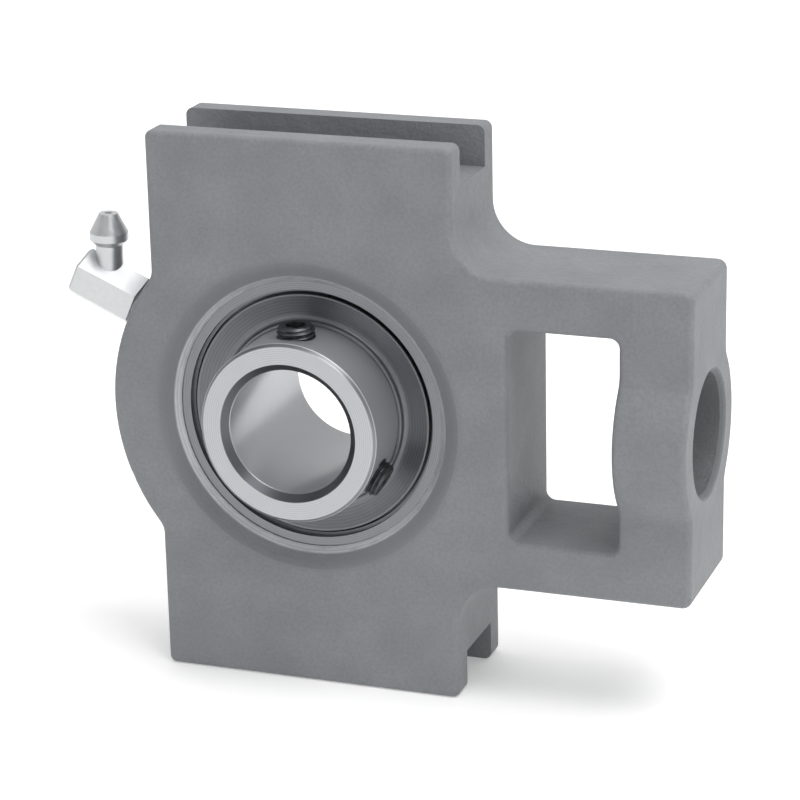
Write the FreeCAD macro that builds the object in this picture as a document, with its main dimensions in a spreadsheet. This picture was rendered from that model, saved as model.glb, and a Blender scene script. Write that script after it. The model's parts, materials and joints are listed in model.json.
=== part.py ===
import FreeCAD, Part
import math
import os
import re
import Sketcher

# Take-up bearing unit for a 20 mm shaft, in millimetres and degrees.
# The shaft axis is Y and the front of the unit faces -Y. X runs from the bearing towards
# the adjusting screw, Z is up, and the origin is the centre of the bearing.

Vector = FreeCAD.Vector
Rotation = FreeCAD.Rotation
Placement = FreeCAD.Placement

# Driving dimensions
SIZES = {
    # Guide plate and arm of the cast housing
    "guide_left": 25.5,
    "guide_right": 24.5,
    "guide_height": 89,
    "plate_thickness": 21,
    "rail_groove_width": 12,
    "rail_groove_depth": 6.5,
    "arm_height": 50,
    "arm_end": 62,
    "boss_radius": 33,
    "arm_fillet": 7,
    "boss_fillet": 3,
    "guide_corner": 1.2,
    "arm_corner": 1.5,
    "casting_edge": 0.9,
    # Nut slot and end wall
    "slot_length": 17.5,
    "slot_height": 34,
    "slot_corner": 1.5,
    "slot_edge": 1,
    "end_wall": 11.5,
    "bulge_radius": 14.8,
    "bulge_fillet": 3,
    "screw_hole_radius": 9.5,
    "screw_hole_chamfer": 0.8,
    # Spherical seat of the insert
    "sphere_radius": 23.5,
    "seat_clearance": 0.03,
    "seat_half_width": 8.7,
    "rim_chamfer": 0.9,
    "dish_radius": 25.1,
    "notch_clearance": 0.3,
    "grease_groove_width": 5,
    "grease_groove_depth": 0.8,
    "grease_groove_place": -3.5,
    # Insert bearing rings
    "bore_radius": 10,
    "inner_ring_radius": 14.5,
    "inner_front": 18.3,
    "inner_rear": 12.7,
    "bore_chamfer": 1.2,
    "ring_chamfer": 0.5,
    "outer_ring_width": 17,
    "outer_shoulder_radius": 18.9,
    "seal_seat_radius": 20.4,
    "seal_seat_inner": 5.6,
    "lube_hole_radius": 0.75,
    "lube_hole_place": -4.6,
    # Balls and riveted cage
    "ball_radius": 3.969,
    "ball_count": 8,
    "pitch_radius": 16.75,
    "race_radius": 4.13,
    "race_clearance": 0.04,
    "cage_gap": 0.4,
    "cage_sheet": 0.8,
    "pocket_clearance": 0.18,
    "rivet_radius": 0.6,
    "rivet_head_radius": 1,
    "rivet_head_height": 0.35,
    "rivet_clearance": 0.02,
    # Seals and slingers
    "shield_sheet": 0.5,
    "lip_reach": 1.4,
    "shield_rim_width": 1.9,
    "lip_width": 0.9,
    "running_clearance": 0.05,
    "slinger_sheet": 0.6,
    "slinger_place": 7,
    "slinger_hub_width": 1.2,
    "slinger_gap": 0.3,
    # Set screws
    "screw_radius": 3,
    "thread_clearance": 0.05,
    "screw_length": 6,
    "screw_lift": 0.15,
    "screw_place": 5,
    "screw_spread": 120,
    "screw_chamfer": 0.6,
    "hex_socket": 3,
    "hex_socket_depth": 2.5,
    # Locking pin of the insert
    "pin_radius": 1.25,
    "pin_length": 3,
    "pin_stand_out": 1.4,
    "pin_play": 0.1,
    "pin_slot_lead": 1,
    # Grease nipple
    "nipple_angle": 24,
    "nipple_elbow": 67.5,
    "nipple_shift": -2,
    "nipple_spot_depth": 0.5,
    "nipple_spot_radius": 5.2,
    "nipple_thread_radius": 3,
    "nipple_shank_depth": 6,
    "nipple_collar": 2,
    "nipple_hex": 7.6,
    "nipple_hex_length": 11,
    "nipple_hex_chamfer": 0.5,
    "nipple_head_place": 5.5,
    "nipple_neck_radius": 2.2,
    "nipple_head_radius": 3.1,
    "nipple_tip_radius": 1.5,
    "nipple_head_height": 12.2,
    "nipple_neck_height": 7,
    "nipple_taper": 0.9,
    "nipple_band": 1.2,
    "nipple_channel_radius": 1,
    "nipple_mouth_radius": 0.55,
    "nipple_mouth_length": 0.5,
    "check_ball_radius": 0.8,
    "check_ball_gap": 0.03,
    "spring_wire_radius": 0.12,
    "spring_radius": 0.7,
    "spring_height": 4,
    "spring_pitch": 1,
}

doc = FreeCAD.newDocument("take_up_unit")
sheet = doc.addObject("Spreadsheet::Sheet", "Sizes")
for row, (alias, number) in enumerate(SIZES.items(), start=1):
    sheet.set("A%d" % row, alias)
    sheet.set("B%d" % row, str(number))
    sheet.setAlias("B%d" % row, alias)
doc.recompute()

# Sizes that follow from the driving dimensions
SEAT_RADIUS = "(sphere_radius + seat_clearance)"
SLOT_START = "(arm_end - end_wall - slot_length)"
SLOT_END = "(arm_end - end_wall)"
HALF_PLATE = "plate_thickness / 2"
CAGE_INNER = "(inner_ring_radius + cage_gap)"
CAGE_OUTER = "(outer_shoulder_radius - cage_gap)"
SHIELD_INNER = "(inner_ring_radius + lip_reach)"
NIPPLE_SEAT = "(boss_radius - nipple_spot_depth)"
HEX_START = "(" + NIPPLE_SEAT + " + nipple_collar)"
BEND_HEIGHT = "(" + HEX_START + " + nipple_head_place)"
HEAD_ANGLE = "(180 - nipple_angle - nipple_elbow)"
CUT_MARGIN = 1
ON_EDGE = 1e-4

# An angle that only gives a rotation its axis, before its own angle is tied to the sheet
AXIS_ANGLE = 1

subparts = []


def value(text):
    """The number that a text of sizes comes to."""
    return float(sheet.evalExpression(str(text)))


def bind(feature, property_path, text):
    """Ties a property to the sheet."""
    def with_sheet(match):
        return "Sizes." + match.group(0) if match.group(0) in SIZES else match.group(0)
    feature.setExpression(property_path, re.sub(r"[a-z_]+", with_sheet, str(text)))


def new_body(label):
    body = doc.addObject("PartDesign::Body", label)
    body.Label = label
    subparts.append(body)
    return body


def keep(feature, label):
    feature.Label = label
    subparts.append(feature)
    return feature


def sketch_on(body, name, role, lift="0"):
    """A sketch on an origin plane of the body, lifted along the plane's normal."""
    sketch = body.newObject("Sketcher::SketchObject", name)
    plane = [feature for feature in body.Origin.OriginFeatures if feature.Role == role][0]
    sketch.AttachmentSupport = [(plane, "")]
    sketch.MapMode = "FlatFace"
    bind(sketch, "AttachmentOffset.Base.z", lift)
    return sketch


def pin_point(sketch, geometry, point, u, v):
    """Places one point of a sketch by its distances from the sketch's origin."""
    for kind, text in (("DistanceX", u), ("DistanceY", v)):
        constraint = Sketcher.Constraint(kind, -1, 1, geometry, point, value(text))
        bind(sketch, "Constraints[%d]" % sketch.addConstraint(constraint), text)


def arc_side(start, end, radius, turn):
    """An arc from start to end, and which of its own ends is the start."""
    half_chord = (end - start) * 0.5
    left = Vector(-half_chord.y, half_chord.x, 0).normalize()
    height = math.sqrt(radius ** 2 - half_chord.Length ** 2)
    centre = start + half_chord + left * (height if turn == "left" else -height)
    first, last = (start, end) if turn == "left" else (end, start)
    first_angle = math.atan2(first.y - centre.y, first.x - centre.x)
    last_angle = math.atan2(last.y - centre.y, last.x - centre.x)
    if last_angle < first_angle:
        last_angle += 2 * math.pi
    arc = Part.ArcOfCircle(Part.Circle(centre, Vector(0, 0, 1), radius), first_angle, last_angle)
    return arc, (1, 2) if turn == "left" else (2, 1)


def outline(sketch, corners):
    """A closed outline. A corner is (u, v), or (u, v, turn, radius) where an arc leaves it."""
    points = [Vector(value(corner[0]), value(corner[1]), 0) for corner in corners]
    sides = []
    for index, corner in enumerate(corners):
        start = points[index]
        end = points[(index + 1) % len(points)]
        if len(corner) == 2:
            shape, ends = Part.LineSegment(start, end), (1, 2)
        else:
            shape, ends = arc_side(start, end, value(corner[3]), corner[2])
        sides.append((sketch.addGeometry(shape, False), ends))
    for index, (side, ends) in enumerate(sides):
        next_side, next_ends = sides[(index + 1) % len(sides)]
        sketch.addConstraint(Sketcher.Constraint("Coincident", side, ends[1], next_side, next_ends[0]))
        pin_point(sketch, side, ends[0], corners[index][0], corners[index][1])
        if len(corners[index]) == 4:
            radius = corners[index][3]
            number = sketch.addConstraint(Sketcher.Constraint("Radius", side, value(radius)))
            bind(sketch, "Constraints[%d]" % number, radius)


def rectangle(sketch, low_u, low_v, high_u, high_v):
    outline(sketch, [(low_u, low_v), (high_u, low_v), (high_u, high_v), (low_u, high_v)])


def circle(sketch, u, v, radius):
    shape = Part.Circle(Vector(value(u), value(v), 0), Vector(0, 0, 1), value(radius))
    index = sketch.addGeometry(shape, False)
    pin_point(sketch, index, 3, u, v)
    number = sketch.addConstraint(Sketcher.Constraint("Radius", index, value(radius)))
    bind(sketch, "Constraints[%d]" % number, radius)


def feature_from(body, kind, name, sketch):
    feature = body.newObject("PartDesign::" + kind, name)
    feature.Profile = sketch
    body.Tip = feature
    return feature


def pad(body, name, sketch, length, both_ways=False, backwards=False):
    feature = feature_from(body, "Pad", name, sketch)
    feature.Midplane = both_ways
    feature.Reversed = backwards
    bind(feature, "Length", length)
    return feature


def check_cut(feature, volume_before):
    """A cut that points away from the solid shows no error, so the volume is compared."""
    doc.recompute()
    if feature.Shape.Volume > volume_before - ON_EDGE:
        raise ValueError("%s cuts nothing" % feature.Name)
    return feature


def pocket(body, name, sketch, depth, both_ways=False, backwards=False):
    doc.recompute()
    volume_before = body.Shape.Volume
    feature = feature_from(body, "Pocket", name, sketch)
    feature.Midplane = both_ways
    feature.Reversed = backwards
    bind(feature, "Length", depth)
    return check_cut(feature, volume_before)


def revolve(body, name, sketch):
    feature = feature_from(body, "Revolution", name, sketch)
    feature.ReferenceAxis = (sketch, ["V_Axis"])
    feature.Angle = 360
    return feature


def revolved_cut(body, name, sketch):
    doc.recompute()
    volume_before = body.Shape.Volume
    feature = feature_from(body, "Groove", name, sketch)
    feature.ReferenceAxis = (sketch, ["V_Axis"])
    feature.Angle = 360
    return check_cut(feature, volume_before)


def polar_pattern(body, name, originals, axis, count, angle=360):
    feature = body.newObject("PartDesign::PolarPattern", name)
    feature.Originals = originals
    feature.Axis = axis
    bind(feature, "Angle", angle)
    bind(feature, "Occurrences", count)
    body.Tip = feature
    return feature


def edges_of(feature, wanted):
    doc.recompute()
    names = ["Edge%d" % (index + 1) for index, edge in enumerate(feature.Shape.Edges) if wanted(edge)]
    if not names:
        raise ValueError("%s has no such edge" % feature.Name)
    return feature, names


def round_edges(body, name, radius, wanted):
    base = edges_of(body.Tip, wanted)
    feature = body.newObject("PartDesign::Fillet", name)
    feature.Base = base
    bind(feature, "Radius", radius)
    body.Tip = feature
    return feature


def bevel_edges(body, name, size, wanted):
    base = edges_of(body.Tip, wanted)
    feature = body.newObject("PartDesign::Chamfer", name)
    feature.Base = base
    bind(feature, "Size", size)
    body.Tip = feature
    return feature


def edge_points(edge):
    return [edge.valueAt(parameter) for parameter in
            (edge.FirstParameter, (edge.FirstParameter + edge.LastParameter) / 2, edge.LastParameter)]


def runs_along_x(edge):
    first, _, last = edge_points(edge)
    return abs(first.y - last.y) < ON_EDGE and abs(first.z - last.z) < ON_EDGE and not edge.isClosed()


def turn_about_y(body, angle):
    """Turns a piece about the shaft axis."""
    body.Placement = Placement(Vector(), Rotation(Vector(0, 1, 0), AXIS_ANGLE))
    bind(body, "Placement.Rotation.Angle", angle)


def face_rear(body):
    """Turns a front piece over, so that it lies at the rear of the bearing."""
    body.Placement = Placement(Vector(), Rotation(Vector(1, 0, 0), 180))


# Housing outline: guide plate, round boss behind the bearing and arm, seen from the front
def housing_outline(body):
    sketch = sketch_on(body, "plate_outline", "XZ_Plane")
    foot = "guide_height / 2"
    side = "arm_height / 2"
    blend_v = "sqrt((boss_radius + boss_fillet) ^ 2 - (guide_left + boss_fillet) ^ 2)"
    touch_u = "-(guide_left + boss_fillet) * boss_radius / (boss_radius + boss_fillet)"
    touch_v = blend_v + " * boss_radius / (boss_radius + boss_fillet)"
    outline(sketch, [
        ("-guide_left + guide_corner", "-" + foot),
        ("guide_right - guide_corner", "-" + foot, "left", "guide_corner"),
        ("guide_right", "-" + foot + " + guide_corner"),
        ("guide_right", "-" + side + " - arm_fillet", "right", "arm_fillet"),
        ("guide_right + arm_fillet", "-" + side),
        ("arm_end - arm_corner", "-" + side, "left", "arm_corner"),
        ("arm_end", "-" + side + " + arm_corner"),
        ("arm_end", side + " - arm_corner", "left", "arm_corner"),
        ("arm_end - arm_corner", side),
        ("guide_right + arm_fillet", side, "right", "arm_fillet"),
        ("guide_right", side + " + arm_fillet"),
        ("guide_right", foot + " - guide_corner", "left", "guide_corner"),
        ("guide_right - guide_corner", foot),
        ("-guide_left + guide_corner", foot, "left", "guide_corner"),
        ("-guide_left", foot + " - guide_corner"),
        ("-guide_left", blend_v, "right", "boss_fillet"),
        (touch_u, touch_v, "left", "boss_radius"),
        (touch_u, "-" + touch_v, "right", "boss_fillet"),
        ("-guide_left", "-" + blend_v),
        ("-guide_left", "-" + foot + " + guide_corner", "left", "guide_corner"),
    ])
    pad(body, "plate", sketch, "plate_thickness", both_ways=True)


# Half-round bulge that carries the screw hole through the end wall, blended into both faces
def end_wall_bulge(body):
    sketch = sketch_on(body, "bulge_outline", "YZ_Plane", SLOT_END)
    blend_u = "(plate_thickness / 2 + bulge_fillet)"
    blend_v = "sqrt((bulge_radius + bulge_fillet) ^ 2 - " + blend_u + " ^ 2)"
    share = " * bulge_radius / (bulge_radius + bulge_fillet)"
    outline(sketch, [
        (HALF_PLATE, "-" + blend_v, "right", "bulge_fillet"),
        (blend_u + share, "-" + blend_v + share, "left", "bulge_radius"),
        (blend_u + share, blend_v + share, "right", "bulge_fillet"),
        (HALF_PLATE, blend_v),
        ("-" + HALF_PLATE, blend_v, "right", "bulge_fillet"),
        ("-" + blend_u + share, blend_v + share, "left", "bulge_radius"),
        ("-" + blend_u + share, "-" + blend_v + share, "right", "bulge_fillet"),
        ("-" + HALF_PLATE, "-" + blend_v),
    ])
    pad(body, "bulge", sketch, "end_wall")


# Rounded edges all round the casting's two faces
def casting_rim(body):
    face = value(HALF_PLATE) - ON_EDGE
    side = value("arm_height / 2") - ON_EDGE
    wall = value(SLOT_END) + ON_EDGE

    def on_rim(edge):
        points = edge_points(edge)
        if min(abs(point.y) for point in points) < face:
            return False
        if runs_along_x(edge) and abs(points[0].z) < side:
            return False
        inside = max(point.x for point in points) < wall and abs(points[1].z) < side
        return not (inside and points[1].x > value(SLOT_START))
    round_edges(body, "casting_rim", "casting_edge", on_rim)


# Slot for the nut of the adjusting screw, open to the front and the rear
def nut_slot(body):
    sketch = sketch_on(body, "slot_outline", "XZ_Plane")
    side = "slot_height / 2"
    start_in = SLOT_START + " + slot_corner"
    end_in = SLOT_END + " - slot_corner"
    outline(sketch, [
        (start_in, "-" + side),
        (end_in, "-" + side, "left", "slot_corner"),
        (SLOT_END, "-" + side + " + slot_corner"),
        (SLOT_END, side + " - slot_corner", "left", "slot_corner"),
        (end_in, side),
        (start_in, side, "left", "slot_corner"),
        (SLOT_START, side + " - slot_corner"),
        (SLOT_START, "-" + side + " + slot_corner", "left", "slot_corner"),
    ])
    pocket(body, "nut_slot", sketch, "4 * plate_thickness", both_ways=True)
    face = value(HALF_PLATE) - ON_EDGE
    low = value(SLOT_START) - ON_EDGE
    high = value(SLOT_END) + ON_EDGE
    reach = value(side)

    def on_slot_edge(edge):
        points = edge_points(edge)
        if min(abs(point.y) for point in points) < face:
            return False
        if runs_along_x(edge) and abs(points[0].z) < reach - ON_EDGE:
            return False
        return all(low < point.x < high and abs(point.z) < reach + ON_EDGE for point in points)
    round_edges(body, "slot_rim", "slot_edge", on_slot_edge)


# Grooves along the top and bottom edges, in which the unit slides on the frame's rails
def rail_grooves(body):
    sketch = sketch_on(body, "rail_groove_outline", "YZ_Plane")
    floor = "(guide_height / 2 - rail_groove_depth)"
    beyond = "(guide_height / 2 + %d)" % CUT_MARGIN
    half_width = "rail_groove_width / 2"
    rectangle(sketch, "-" + half_width, floor, half_width, beyond)
    rectangle(sketch, "-" + half_width, "-" + beyond, half_width, "-" + floor)
    pocket(body, "rail_grooves", sketch, "4 * (guide_left + guide_right)", both_ways=True)


# Bearing seat: a band of a sphere between two machined rims, each in a shallow dish
def bearing_seat(body):
    sketch = sketch_on(body, "seat_profile", "XY_Plane")
    beyond = "(plate_thickness / 2 + %d)" % CUT_MARGIN
    rim_inner = "sqrt(" + SEAT_RADIUS + " ^ 2 - seat_half_width ^ 2)"
    rim_outer = rim_inner + " + rim_chamfer"
    rim_place = "(seat_half_width + rim_chamfer)"
    outline(sketch, [
        ("0", "-" + beyond),
        ("dish_radius", "-" + beyond),
        ("dish_radius", "-" + HALF_PLATE),
        (rim_outer, "-" + rim_place),
        (rim_inner, "-seat_half_width", "left", SEAT_RADIUS),
        (rim_inner, "seat_half_width"),
        (rim_outer, rim_place),
        ("dish_radius", HALF_PLATE),
        ("dish_radius", beyond),
        ("0", beyond),
    ])
    revolved_cut(body, "bearing_seat", sketch)


# Ring groove in the seat that leads grease round the insert
def grease_groove(body):
    sketch = sketch_on(body, "grease_groove_profile", "XY_Plane")
    low = "grease_groove_place - grease_groove_width / 2"
    high = "grease_groove_place + grease_groove_width / 2"
    rectangle(sketch, "inner_ring_radius", low, SEAT_RADIUS + " + grease_groove_depth", high)
    revolved_cut(body, "grease_groove", sketch)


# Rear notches through which the insert is put in edge on, then swung into its seat
def loading_notches(body):
    sketch = sketch_on(body, "notch_outline", "XZ_Plane")
    half_width = "(outer_ring_width / 2 + notch_clearance)"
    rectangle(sketch, "-" + SEAT_RADIUS, "-" + half_width, SEAT_RADIUS, half_width)
    pocket(body, "loading_notches", sketch, "plate_thickness / 2 + %d" % CUT_MARGIN)


# Slot at the top of the seat for the insert's locking pin, open to the rear
def pin_slot(body):
    half_width = "(pin_radius + pin_play)"
    front = half_width + " + pin_slot_lead"
    sketch = sketch_on(body, "pin_slot_outline", "XZ_Plane", front)
    reach = "sphere_radius + pin_stand_out + pin_play + seat_clearance"
    rectangle(sketch, "-" + half_width, "outer_shoulder_radius", half_width, reach)
    pocket(body, "pin_slot", sketch, front + " + plate_thickness / 2 + %d" % CUT_MARGIN)


# Screw hole through the end wall, from the end face into the nut slot
def screw_hole(body):
    sketch = sketch_on(body, "screw_hole_outline", "YZ_Plane", "arm_end")
    circle(sketch, "0", "0", "screw_hole_radius")
    pocket(body, "screw_hole", sketch, "end_wall")
    end = value("arm_end")

    def at_mouth(edge):
        return edge.isClosed() and all(abs(point.x - end) < ON_EDGE for point in edge_points(edge))
    bevel_edges(body, "screw_hole_mouth", "screw_hole_chamfer", at_mouth)


# Flat and tapped hole for the grease nipple, radial through the boss
def nipple_hole(body):
    for name, radius, start, depth in (
            ("nipple_spot", "nipple_spot_radius", NIPPLE_SEAT, "nipple_spot_radius"),
            ("nipple_thread", "nipple_thread_radius", "inner_ring_radius", "boss_radius")):
        sketch = sketch_on(body, name + "_outline", "YZ_Plane")
        sketch.AttachmentOffset = Placement(Vector(), Rotation(Vector(1, 0, 0), AXIS_ANGLE))
        bind(sketch, "AttachmentOffset.Rotation.Angle", "180 + nipple_angle")
        bind(sketch, "AttachmentOffset.Base.y", start + " * sin(nipple_angle)")
        bind(sketch, "AttachmentOffset.Base.z", "-" + start + " * cos(nipple_angle)")
        circle(sketch, "nipple_shift", "0", radius)
        pocket(body, name, sketch, depth, backwards=True)


def make_housing():
    body = new_body("housing")
    housing_outline(body)
    end_wall_bulge(body)
    casting_rim(body)
    nut_slot(body)
    rail_grooves(body)
    bearing_seat(body)
    grease_groove(body)
    loading_notches(body)
    pin_slot(body)
    screw_hole(body)
    nipple_hole(body)


# Outer ring: ball race, seal seats and a spherical outside, with grease holes and a pin hole
def make_outer_ring():
    body = new_body("outer_ring")
    sketch = sketch_on(body, "outer_ring_profile", "XY_Plane")
    half_width = "outer_ring_width / 2"
    corner = "sqrt(sphere_radius ^ 2 - (" + half_width + ") ^ 2)"
    race_centre = "(pitch_radius + ball_radius + race_clearance - race_radius)"
    race_half = "sqrt(race_radius ^ 2 - (outer_shoulder_radius - " + race_centre + ") ^ 2)"
    outline(sketch, [
        (corner, "-" + half_width, "left", "sphere_radius"),
        (corner, half_width),
        ("seal_seat_radius", half_width),
        ("seal_seat_radius", "seal_seat_inner"),
        ("outer_shoulder_radius", "seal_seat_inner"),
        ("outer_shoulder_radius", race_half, "right", "race_radius"),
        ("outer_shoulder_radius", "-" + race_half),
        ("outer_shoulder_radius", "-seal_seat_inner"),
        ("seal_seat_radius", "-seal_seat_inner"),
        ("seal_seat_radius", "-" + half_width),
    ])
    revolve(body, "outer_ring_turned", sketch)
    lube = sketch_on(body, "lube_hole_outline", "YZ_Plane")
    circle(lube, "lube_hole_place", "0", "lube_hole_radius")
    pocket(body, "lube_holes", lube, "4 * sphere_radius", both_ways=True)
    pin = sketch_on(body, "pin_hole_outline", "XY_Plane", "sphere_radius + pin_stand_out - pin_length")
    circle(pin, "0", "0", "pin_radius + running_clearance")
    pocket(body, "pin_hole", pin, "pin_length", backwards=True)


# Inner ring: long towards the front, where the two set screws grip the shaft
def make_inner_ring():
    body = new_body("inner_ring")
    sketch = sketch_on(body, "inner_ring_profile", "XY_Plane")
    race_centre = "(pitch_radius - ball_radius - race_clearance + race_radius)"
    race_half = "sqrt(race_radius ^ 2 - (" + race_centre + " - inner_ring_radius) ^ 2)"
    outline(sketch, [
        ("bore_radius", "-inner_front + bore_chamfer"),
        ("bore_radius + bore_chamfer", "-inner_front"),
        ("inner_ring_radius - ring_chamfer", "-inner_front"),
        ("inner_ring_radius", "-inner_front + ring_chamfer"),
        ("inner_ring_radius", "-" + race_half, "right", "race_radius"),
        ("inner_ring_radius", race_half),
        ("inner_ring_radius", "inner_rear - ring_chamfer"),
        ("inner_ring_radius - ring_chamfer", "inner_rear"),
        ("bore_radius + bore_chamfer", "inner_rear"),
        ("bore_radius", "inner_rear - bore_chamfer"),
    ])
    revolve(body, "inner_ring_turned", sketch)
    tapped = sketch_on(body, "set_screw_hole_outline", "XY_Plane")
    circle(tapped, "0", "screw_place - inner_front", "screw_radius + thread_clearance")
    hole = pocket(body, "set_screw_hole", tapped, "2 * inner_ring_radius", backwards=True)
    polar_pattern(body, "set_screw_holes", [hole], (sketch, ["V_Axis"]), 2, "screw_spread")


# Balls, evenly spaced on the pitch circle
def make_balls():
    for index in range(SIZES["ball_count"]):
        ball = keep(doc.addObject("Part::Sphere", "ball_%d" % (index + 1)), "ball_%d" % (index + 1))
        angle = "(%d * 360 / ball_count)" % index
        bind(ball, "Radius", "ball_radius")
        bind(ball, "Placement.Base.x", "pitch_radius * cos" + angle)
        bind(ball, "Placement.Base.z", "pitch_radius * sin" + angle)


# Half of the pressed cage: a flat ring with a spherical pocket drawn out at each ball
def make_cage_half(label):
    body = new_body(label)
    ring = sketch_on(body, "cage_ring_outline", "XZ_Plane")
    circle(ring, "0", "0", CAGE_INNER)
    circle(ring, "0", "0", CAGE_OUTER)
    pad(body, "cage_ring", ring, "cage_sheet")
    axis = (ring, ["N_Axis"])
    shell = body.newObject("PartDesign::AdditiveSphere", "pocket_outside")
    bind(shell, "Radius", "ball_radius + pocket_clearance + cage_sheet")
    bind(shell, "Placement.Base.x", "pitch_radius")
    polar_pattern(body, "pocket_outsides", [shell], axis, "ball_count")
    beyond = CAGE_OUTER + " + 2 * ball_radius"
    inside = sketch_on(body, "trim_inside_outline", "XZ_Plane")
    circle(inside, "0", "0", CAGE_INNER)
    pocket(body, "trim_inside", inside, "8 * ball_radius", both_ways=True)
    outside = sketch_on(body, "trim_outside_outline", "XZ_Plane")
    circle(outside, "0", "0", CAGE_OUTER)
    circle(outside, "0", "0", beyond)
    pocket(body, "trim_outside", outside, "8 * ball_radius", both_ways=True)
    rear = sketch_on(body, "trim_rear_outline", "XZ_Plane")
    circle(rear, "0", "0", beyond)
    pocket(body, "trim_rear", rear, "4 * ball_radius")
    hollow = body.newObject("PartDesign::SubtractiveSphere", "pocket_inside")
    bind(hollow, "Radius", "ball_radius + pocket_clearance")
    bind(hollow, "Placement.Base.x", "pitch_radius")
    polar_pattern(body, "pocket_insides", [hollow], axis, "ball_count")
    rivet = sketch_on(body, "rivet_hole_outline", "XZ_Plane")
    half_step = "(180 / ball_count)"
    circle(rivet, "pitch_radius * cos" + half_step, "pitch_radius * sin" + half_step,
           "rivet_radius + rivet_clearance")
    hole = pocket(body, "rivet_hole", rivet, "4 * cage_sheet", both_ways=True)
    polar_pattern(body, "rivet_holes", [hole], axis, "ball_count")
    return body


# Rivets that join the two cage halves, one between each pair of balls
def make_cage_rivets():
    body = new_body("cage_rivets")
    half_step = "(180 / ball_count)"
    originals = []
    for name, radius, lift, length, both_ways in (
            ("rivet_shank", "rivet_radius", "0", "2 * cage_sheet", True),
            ("rivet_front_head", "rivet_head_radius", "cage_sheet", "rivet_head_height", False),
            ("rivet_rear_head", "rivet_head_radius", "-cage_sheet - rivet_head_height",
             "rivet_head_height", False)):
        sketch = sketch_on(body, name + "_outline", "XZ_Plane", lift)
        circle(sketch, "pitch_radius * cos" + half_step, "pitch_radius * sin" + half_step, radius)
        originals.append(pad(body, name, sketch, length, both_ways=both_ways))
    polar_pattern(body, "rivets", originals, (sketch, ["N_Axis"]), "ball_count")


# Pressed steel shield, seated against the shoulder of the outer ring
def make_seal_shield(label):
    body = new_body(label)
    sketch = sketch_on(body, "shield_profile", "XY_Plane")
    outline(sketch, [
        (SHIELD_INNER, "-seal_seat_inner"),
        (SHIELD_INNER, "-seal_seat_inner - shield_sheet"),
        ("seal_seat_radius - shield_sheet", "-seal_seat_inner - shield_sheet"),
        ("seal_seat_radius - shield_sheet", "-seal_seat_inner - shield_rim_width"),
        ("seal_seat_radius", "-seal_seat_inner - shield_rim_width"),
        ("seal_seat_radius", "-seal_seat_inner"),
    ])
    revolve(body, "shield_turned", sketch)
    return body


# Rubber lip moulded to the shield's inner edge, running on the inner ring
def make_seal_lip(label):
    body = new_body(label)
    sketch = sketch_on(body, "lip_profile", "XY_Plane")
    tip = "inner_ring_radius + running_clearance"
    outline(sketch, [
        (tip, "-seal_seat_inner - shield_sheet / 2"),
        (tip, "-seal_seat_inner - shield_sheet / 2 - lip_width / 2"),
        (SHIELD_INNER, "-seal_seat_inner - shield_sheet"),
        (SHIELD_INNER, "-seal_seat_inner"),
    ])
    revolve(body, "lip_turned", sketch)
    return body


# Slinger pressed on the inner ring in front of the shield
def make_slinger(label):
    body = new_body(label)
    sketch = sketch_on(body, "slinger_profile", "XY_Plane")
    hub = "inner_ring_radius + slinger_sheet"
    rim = "seal_seat_radius - shield_sheet - slinger_gap"
    outline(sketch, [
        ("inner_ring_radius", "-slinger_place"),
        ("inner_ring_radius", "-slinger_place - slinger_hub_width"),
        (hub, "-slinger_place - slinger_hub_width"),
        (hub, "-slinger_place - slinger_sheet"),
        (rim, "-slinger_place - slinger_sheet"),
        (rim, "-slinger_place"),
    ])
    revolve(body, "slinger_turned", sketch)
    return body


# Set screw with a hexagon socket, drawn along Z and turned about the shaft axis to its place
def make_set_screw(label, angle):
    body = new_body(label)
    start = "bore_radius + screw_lift"
    sketch = sketch_on(body, "screw_outline", "XY_Plane", start)
    circle(sketch, "0", "screw_place - inner_front", "screw_radius")
    pad(body, "screw", sketch, "screw_length")

    def at_ends(edge):
        return edge.isClosed()
    bevel_edges(body, "screw_ends", "screw_chamfer", at_ends)
    socket = sketch_on(body, "socket_outline", "XY_Plane", start + " + screw_length")
    hexagon(socket, "0", "screw_place - inner_front", "hex_socket")
    pocket(body, "socket", socket, "hex_socket_depth")
    turn_about_y(body, angle)


def hexagon(sketch, u, v, across_flats):
    """A regular hexagon by its size across the flats."""
    corner = "(%s) / (2 * cos(30))" % across_flats
    outline(sketch, [("%s + %s * cos(%d)" % (u, corner, 60 * index), "%s + %s * sin(%d)" % (v, corner, 60 * index))
                     for index in range(6)])


# Pin that stands out of the outer ring into the slot of the seat
def make_locking_pin():
    pin = keep(doc.addObject("Part::Cylinder", "locking_pin"), "locking_pin")
    bind(pin, "Radius", "pin_radius")
    bind(pin, "Height", "pin_length - running_clearance")
    bind(pin, "Placement.Base.z", "sphere_radius + pin_stand_out - pin_length + running_clearance")


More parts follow.
